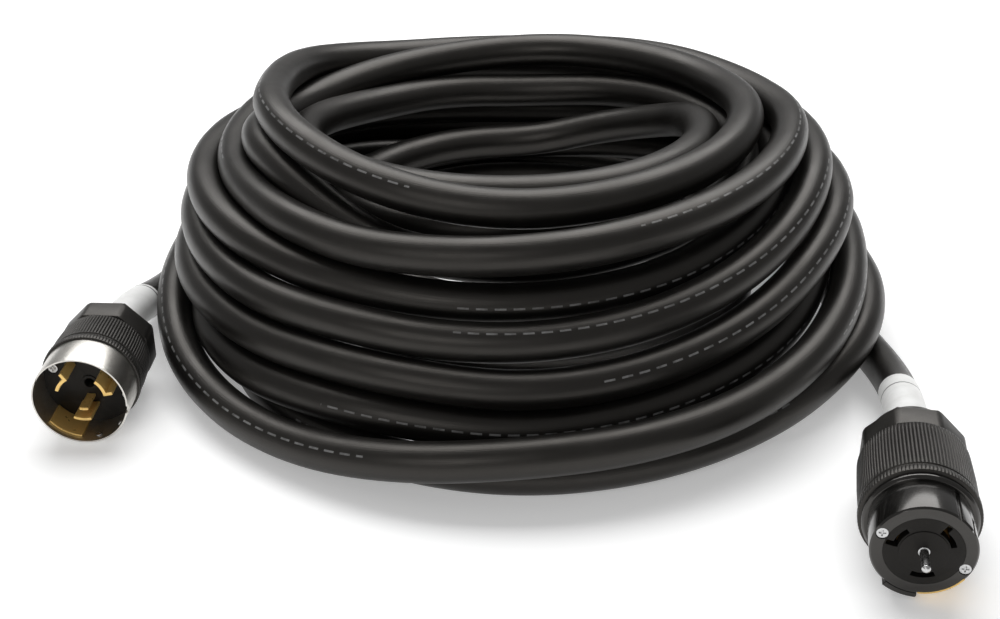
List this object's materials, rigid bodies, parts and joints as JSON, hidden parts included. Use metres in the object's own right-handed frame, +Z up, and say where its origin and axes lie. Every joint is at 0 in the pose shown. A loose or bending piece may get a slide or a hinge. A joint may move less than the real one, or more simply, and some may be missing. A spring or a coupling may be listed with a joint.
{
  "type": "shore power cord",
  "caption": "Coiled heavy rubber power cable with a locking plug in a metal guard shell at one end and a matching locking connector with a pilot pin at the other.",
  "frame": {"origin": "on the floor, under the middle of the box round the plug and the connector, without the cable", "axes": "+X from the plug to the connector, +Y from the fittings back over the coil, +Z up from the floor"},
  "size_m": [0.552, 0.6193, 0.166],
  "materials": {
    "jacket": "satin black synthetic rubber cable jacket",
    "casing": "satin black glass-filled nylon, finely ribbed",
    "nose": "glossy black moulded nylon",
    "face": "black moulded contact carrier",
    "nickel": "satin nickel plated steel",
    "brass": "bright brass",
    "steel": "zinc plated steel",
    "seal": "soft black rubber",
    "nylon": "natural nylon",
    "label": "plain white marker sleeve",
    "wire_black": "black insulation",
    "wire_red": "red insulation",
    "wire_white": "white insulation",
    "wire_green": "green insulation"
  },
  "bodies": {
    "root": {"plug_shell": "nickel", "plug_face": "face", "plug_blade_left": "brass", "plug_blade_right": "brass", "plug_blade_bottom": "brass", "plug_ground_clip": "brass", "plug_rivets": "steel", "plug_body": "casing", "plug_face_screws": "steel", "plug_terminals": "brass", "plug_terminal_screws": "steel", "plug_wire_black": "wire_black", "plug_wire_red": "wire_red", "plug_wire_white": "wire_white", "plug_wire_green": "wire_green", "plug_grommet": "seal", "plug_label": "label", "connector_body": "casing", "connector_collar": "nose", "connector_nose": "nose", "connector_face": "face", "connector_insert": "face", "connector_contact_left": "brass", "connector_contact_right": "brass", "connector_contact_bottom": "brass", "connector_ground_strip": "brass", "connector_pilot_pin": "steel", "connector_face_screws": "steel", "connector_carrier": "face", "connector_terminals": "brass", "connector_terminal_screws": "steel", "connector_wire_black": "wire_black", "connector_wire_red": "wire_red", "connector_wire_white": "wire_white", "connector_wire_green": "wire_green", "connector_grommet": "seal", "connector_label": "label", "cord_coil": "jacket", "lead_plug": "jacket", "lead_connector": "jacket"},
    "plug_ring": {"plug_clamp_ring": "nylon"},
    "plug_nut": {"plug_gland_nut": "casing"},
    "connector_ring": {"connector_clamp_ring": "nylon"},
    "connector_nut": {"connector_gland_nut": "casing"}
  },
  "joints": [
    {"name": "plug_ring_slide", "type": "slide", "parent": "root", "child": "plug_ring", "axis": [0.0436, 0.999, 0], "range_m": [0, 0.0075]},
    {"name": "plug_nut_turn", "type": "hinge", "parent": "plug_ring", "child": "plug_nut", "pos_m": [-0.24305, 0.12552, 0.031], "axis": [0.0436, 0.999, 0], "range_deg": [0, 900]},
    {"name": "connector_ring_slide", "type": "slide", "parent": "root", "child": "connector_ring", "axis": [0.165, 0.9863, 0], "range_m": [0, 0.0075]},
    {"name": "connector_nut_turn", "type": "hinge", "parent": "connector_ring", "child": "connector_nut", "pos_m": [0.24769, -0.00585, 0.033], "axis": [0.165, 0.9863, 0], "range_deg": [0, 900]}
  ],
  "couplings": [
    {"joint": "plug_ring_slide", "follows": "plug_nut_turn", "m_per_rad": 0.00047746},
    {"joint": "connector_ring_slide", "follows": "connector_nut_turn", "m_per_rad": 0.00047746}
  ]
}
